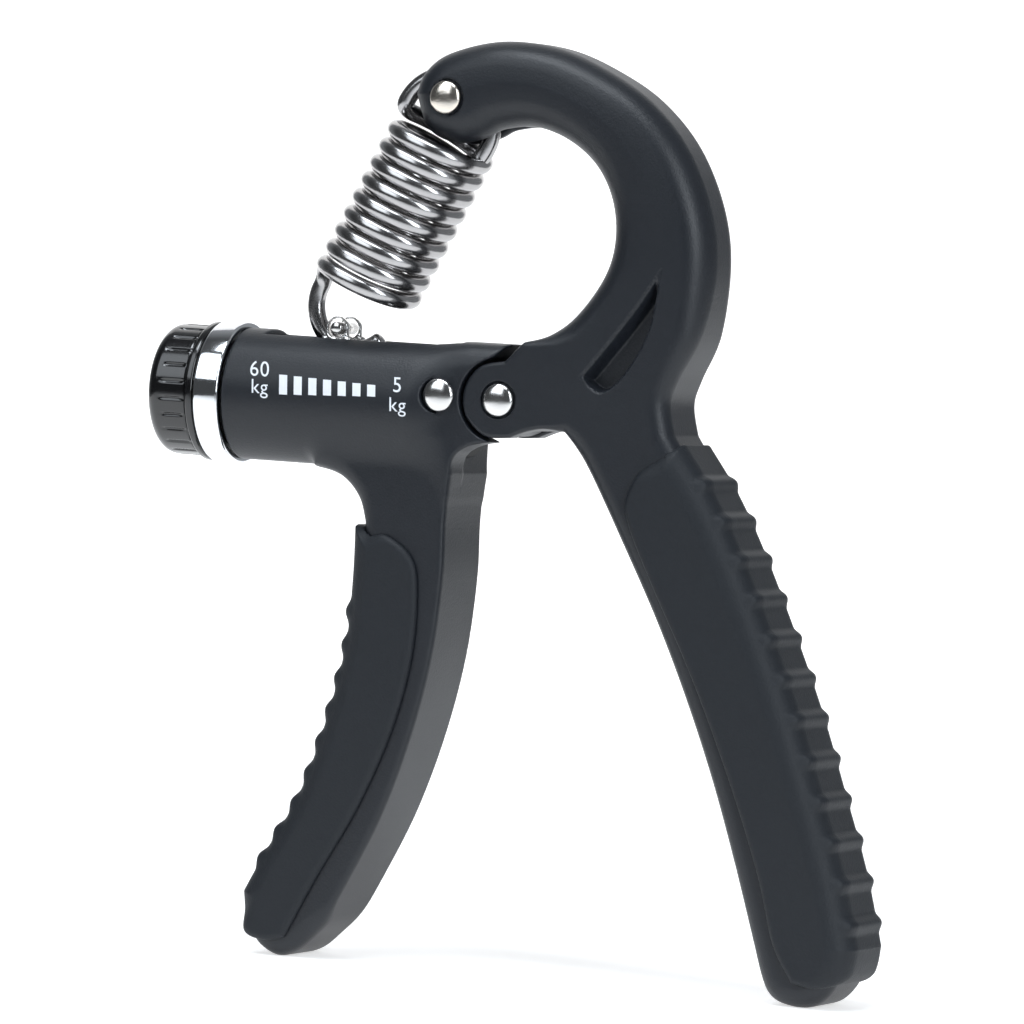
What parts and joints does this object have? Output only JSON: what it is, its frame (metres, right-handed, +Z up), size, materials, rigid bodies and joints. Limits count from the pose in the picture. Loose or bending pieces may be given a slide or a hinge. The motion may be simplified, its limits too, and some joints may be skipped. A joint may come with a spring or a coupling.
{
  "type": "hand grip strengthener",
  "caption": "Adjustable hand gripper: two hinged padded handles, a coil spring from a hooked arm to a screw-driven slider in a tube, and a turning knob.",
  "frame": {"origin": "middle of the bounding box in x and y, at the level of the two handle tips (the lowest points)", "axes": "+Z up along the tallest extent, from the handle tips to the top of the hook arm; +X from the knob and the finger handle to the palm handle; +Y through the thickness, away from the printed face"},
  "size_m": [0.1288, 0.0228, 0.1511],
  "materials": {
    "moulding": "satin moulded, fine grain",
    "grip": "matte soft-touch",
    "gloss_black": "polished",
    "inner_plastic": "plain moulded",
    "chrome": "mirror plated",
    "steel": "polished",
    "spring_steel": "drawn and polished wire"
  },
  "bodies": {
    "palm_side": {"palm_frame": "moulding", "palm_grip": "grip", "hinge_rivet": "steel", "hinge_rivet_cap": "steel", "hinge_washer_front": "steel", "hinge_washer_rear": "steel", "spring_pin": "steel", "spring_pin_cap": "steel"},
    "finger_side": {"finger_housing": "moulding", "finger_grip": "grip", "anchor_rivet": "steel", "anchor_rivet_cap": "steel", "inner_bearing": "inner_plastic", "screw_bush": "inner_plastic", "collar_ring": "chrome"},
    "adjuster": {"knob": "gloss_black", "adjusting_screw": "steel"},
    "slider": {"slider_nut": "chrome", "slider_pin": "steel"},
    "spring_top": {"spring_top_loop": "spring_steel"},
    "spring_upper": {"spring_upper_coils": "spring_steel"},
    "spring_bottom": {"spring_bottom_hook": "spring_steel"},
    "spring_lower": {"spring_lower_coils": "spring_steel"}
  },
  "joints": [
    {"name": "handle_squeeze", "type": "hinge", "parent": "palm_side", "child": "finger_side", "pos_m": [-0.00225, 0, 0.09335], "axis": [0, -1, 0], "range_deg": [0, 40], "stiffness_Nm_per_rad": 1.5, "springref_deg": -2.86},
    {"name": "knob_turn", "type": "hinge", "parent": "finger_side", "child": "adjuster", "pos_m": [-0.04225, 0, 0.09155], "axis": [1, 0, 0], "range_deg": [-2400, 1440]},
    {"name": "slider_travel", "type": "slide", "parent": "finger_side", "child": "slider", "axis": [-1, 0, 0], "range_m": [-0.01, 0.006]},
    {"name": "spring_swing", "type": "hinge", "parent": "palm_side", "child": "spring_top", "pos_m": [-0.01465, 0, 0.14175], "axis": [0, -1, 0], "range_deg": [0, 10], "deforming": ["spring_top_loop"]},
    {"name": "spring_lean", "type": "hinge", "parent": "spring_top", "child": "spring_upper", "pos_m": [-0.01465, 0, 0.14175], "axis": [0, 1, 0], "range_deg": [-11, 7], "deforming": ["spring_upper_coils"]},
    {"name": "spring_stretch", "type": "slide", "parent": "spring_upper", "child": "spring_lower", "axis": [-0.4444, 0, -0.8958], "range_m": [0, 0.021], "deforming": ["spring_lower_coils"]},
    {"name": "hook_shift", "type": "slide", "parent": "spring_lower", "child": "spring_bottom", "axis": [-0.4444, 0, -0.8958], "range_m": [-0.0045, 0.003], "deforming": ["spring_bottom_hook"]}
  ],
  "couplings": [
    {"joint": "knob_turn", "follows": "slider_travel", "rad_per_m": 4188.8},
    {"joint": "spring_swing", "follows": "handle_squeeze", "ratio": 0.24702},
    {"joint": "spring_stretch", "follows": "handle_squeeze", "m_per_rad": 0.029666},
    {"joint": "spring_lean", "follows": "slider_travel", "rad_per_m": 17.453},
    {"joint": "hook_shift", "follows": "slider_travel", "ratio": 0.38}
  ]
}
